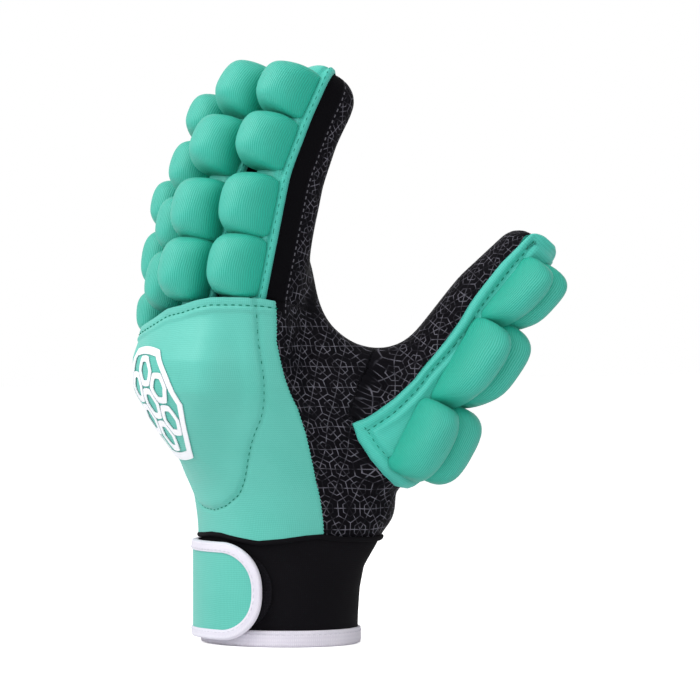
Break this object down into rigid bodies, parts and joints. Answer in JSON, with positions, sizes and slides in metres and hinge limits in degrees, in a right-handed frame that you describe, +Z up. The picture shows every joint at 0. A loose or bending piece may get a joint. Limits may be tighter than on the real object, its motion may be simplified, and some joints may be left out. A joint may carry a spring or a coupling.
{
  "type": "field hockey glove",
  "caption": "Full-finger padded glove for the left hand, with foam segments on the fingers and thumb, a raised back pad and a wrist strap.",
  "frame": {"origin": "middle of the glove's outline, on the plane of the cuff's rim", "axes": "+Z up along the fingers, +X out of the palm, +Y towards the little finger"},
  "size_m": [0.15, 0.1504, 0.2429],
  "materials": {
    "mint_fabric": "matte stretch knit over foam",
    "palm_leather": "matte synthetic leather, thin grey print",
    "neoprene": "matte knit-faced neoprene",
    "white_tape": "woven binding tape",
    "hook_and_loop": "hook-and-loop pile"
  },
  "bodies": {
    "hand": {"palm_panel": "palm_leather", "back_shell": "mint_fabric", "back_pad": "mint_fabric", "wrist_cuff": "neoprene", "cuff_binding": "white_tape", "loop_patch": "hook_and_loop", "thumb_root_sleeve": "palm_leather", "thumb_root_guard": "mint_fabric", "thumb_pad_1_inner": "mint_fabric", "thumb_pad_1_outer": "mint_fabric"},
    "strap_band": {"strap_band": "mint_fabric"},
    "strap_tip": {"strap_tip": "mint_fabric", "hook_patch": "hook_and_loop"},
    "index_proximal": {"index_proximal_sleeve": "palm_leather", "index_proximal_flange": "mint_fabric", "index_pad_1": "mint_fabric", "index_pad_2": "mint_fabric"},
    "index_middle": {"index_middle_sleeve": "palm_leather", "index_middle_flange": "mint_fabric", "index_pad_3": "mint_fabric"},
    "index_distal": {"index_distal_sleeve": "palm_leather", "index_distal_flange": "mint_fabric", "index_pad_4": "mint_fabric"},
    "middle_proximal": {"middle_proximal_sleeve": "palm_leather", "middle_proximal_flange": "mint_fabric", "middle_pad_1": "mint_fabric", "middle_pad_2": "mint_fabric"},
    "middle_middle": {"middle_middle_sleeve": "palm_leather", "middle_middle_flange": "mint_fabric", "middle_pad_3": "mint_fabric"},
    "middle_distal": {"middle_distal_sleeve": "palm_leather", "middle_distal_flange": "mint_fabric", "middle_pad_4": "mint_fabric"},
    "ring_proximal": {"ring_proximal_sleeve": "palm_leather", "ring_proximal_flange": "mint_fabric", "ring_pad_1": "mint_fabric", "ring_pad_2": "mint_fabric"},
    "ring_middle": {"ring_middle_sleeve": "palm_leather", "ring_middle_flange": "mint_fabric", "ring_pad_3": "mint_fabric"},
    "ring_distal": {"ring_distal_sleeve": "palm_leather", "ring_distal_flange": "mint_fabric", "ring_pad_4": "mint_fabric"},
    "little_proximal": {"little_proximal_sleeve": "palm_leather", "little_proximal_flange": "mint_fabric", "little_pad_1": "mint_fabric"},
    "little_middle": {"little_middle_sleeve": "palm_leather", "little_middle_flange": "mint_fabric", "little_pad_2": "mint_fabric"},
    "little_distal": {"little_distal_sleeve": "palm_leather", "little_distal_flange": "mint_fabric", "little_pad_3": "mint_fabric"},
    "thumb_middle": {"thumb_middle_sleeve": "palm_leather", "thumb_middle_guard": "mint_fabric", "thumb_pad_2_inner": "mint_fabric", "thumb_pad_2_outer": "mint_fabric"},
    "thumb_distal": {"thumb_distal_sleeve": "palm_leather", "thumb_distal_guard": "mint_fabric", "thumb_pad_3_inner": "mint_fabric", "thumb_pad_3_outer": "mint_fabric"}
  },
  "joints": [
    {"name": "index_knuckle_bend", "type": "hinge", "parent": "hand", "child": "index_proximal", "pos_m": [-0.03732, -0.00618, 0.13848], "axis": [0, 1, 0], "range_deg": [0, 50], "stiffness_Nm_per_rad": 0.3},
    {"name": "index_middle_bend", "type": "hinge", "parent": "index_proximal", "child": "index_middle", "pos_m": [-0.0255, -0.00618, 0.18965], "axis": [0, 1, 0], "range_deg": [0, 55], "stiffness_Nm_per_rad": 0.2},
    {"name": "index_tip_bend", "type": "hinge", "parent": "index_middle", "child": "index_distal", "pos_m": [-0.01578, -0.00618, 0.2115], "axis": [0, 1, 0], "range_deg": [0, 33], "stiffness_Nm_per_rad": 0.1},
    {"name": "middle_knuckle_bend", "type": "hinge", "parent": "hand", "child": "middle_proximal", "pos_m": [-0.04596, 0.01788, 0.13751], "axis": [0, 1, 0], "range_deg": [0, 50], "stiffness_Nm_per_rad": 0.3},
    {"name": "middle_middle_bend", "type": "hinge", "parent": "middle_proximal", "child": "middle_middle", "pos_m": [-0.03363, 0.01788, 0.18695], "axis": [0, 1, 0], "range_deg": [0, 55], "stiffness_Nm_per_rad": 0.2},
    {"name": "middle_tip_bend", "type": "hinge", "parent": "middle_middle", "child": "middle_distal", "pos_m": [-0.0228, 0.01788, 0.20915], "axis": [0, 1, 0], "range_deg": [0, 33], "stiffness_Nm_per_rad": 0.1},
    {"name": "ring_knuckle_bend", "type": "hinge", "parent": "hand", "child": "ring_proximal", "pos_m": [-0.04044, 0.04038, 0.13421], "axis": [0, 1, 0], "range_deg": [0, 50], "stiffness_Nm_per_rad": 0.3},
    {"name": "ring_middle_bend", "type": "hinge", "parent": "ring_proximal", "child": "ring_middle", "pos_m": [-0.03042, 0.04038, 0.17939], "axis": [0, 1, 0], "range_deg": [0, 55], "stiffness_Nm_per_rad": 0.2},
    {"name": "ring_tip_bend", "type": "hinge", "parent": "ring_middle", "child": "ring_distal", "pos_m": [-0.02304, 0.04038, 0.19967], "axis": [0, 1, 0], "range_deg": [0, 33], "stiffness_Nm_per_rad": 0.1},
    {"name": "little_knuckle_bend", "type": "hinge", "parent": "hand", "child": "little_proximal", "pos_m": [-0.03372, 0.06085, 0.12548], "axis": [0, 1, 0], "range_deg": [0, 50], "stiffness_Nm_per_rad": 0.3},
    {"name": "little_middle_bend", "type": "hinge", "parent": "little_proximal", "child": "little_middle", "pos_m": [-0.03278, 0.06085, 0.14339], "axis": [0, 1, 0], "range_deg": [0, 55], "stiffness_Nm_per_rad": 0.2},
    {"name": "little_tip_bend", "type": "hinge", "parent": "little_middle", "child": "little_distal", "pos_m": [-0.02912, 0.06085, 0.16651], "axis": [0, 1, 0], "range_deg": [0, 33], "stiffness_Nm_per_rad": 0.1},
    {"name": "thumb_knuckle_bend", "type": "hinge", "parent": "hand", "child": "thumb_middle", "pos_m": [0.02271, -0.02875, 0.10881], "axis": [0.8463, 0.4129, -0.3365], "range_deg": [-35, 0], "stiffness_Nm_per_rad": 0.3},
    {"name": "thumb_tip_bend", "type": "hinge", "parent": "thumb_middle", "child": "thumb_distal", "pos_m": [0.0403, -0.03974, 0.13955], "axis": [0.8025, 0.4403, -0.4027], "range_deg": [-35, 0], "stiffness_Nm_per_rad": 0.15},
    {"name": "strap_swing", "type": "hinge", "parent": "hand", "child": "strap_band", "pos_m": [-0.01524, 0.06607, 0], "axis": [0, 0, -1], "range_deg": [0, 70]},
    {"name": "strap_peel", "type": "hinge", "parent": "strap_band", "child": "strap_tip", "pos_m": [-0.04673, 0.03033, 0], "axis": [0, 0, -1], "range_deg": [0, 70]}
  ],
  "couplings": [
    {"joint": "index_tip_bend", "follows": "index_middle_bend", "ratio": 0.6},
    {"joint": "middle_tip_bend", "follows": "middle_middle_bend", "ratio": 0.6},
    {"joint": "ring_tip_bend", "follows": "ring_middle_bend", "ratio": 0.6},
    {"joint": "little_tip_bend", "follows": "little_middle_bend", "ratio": 0.6}
  ]
}
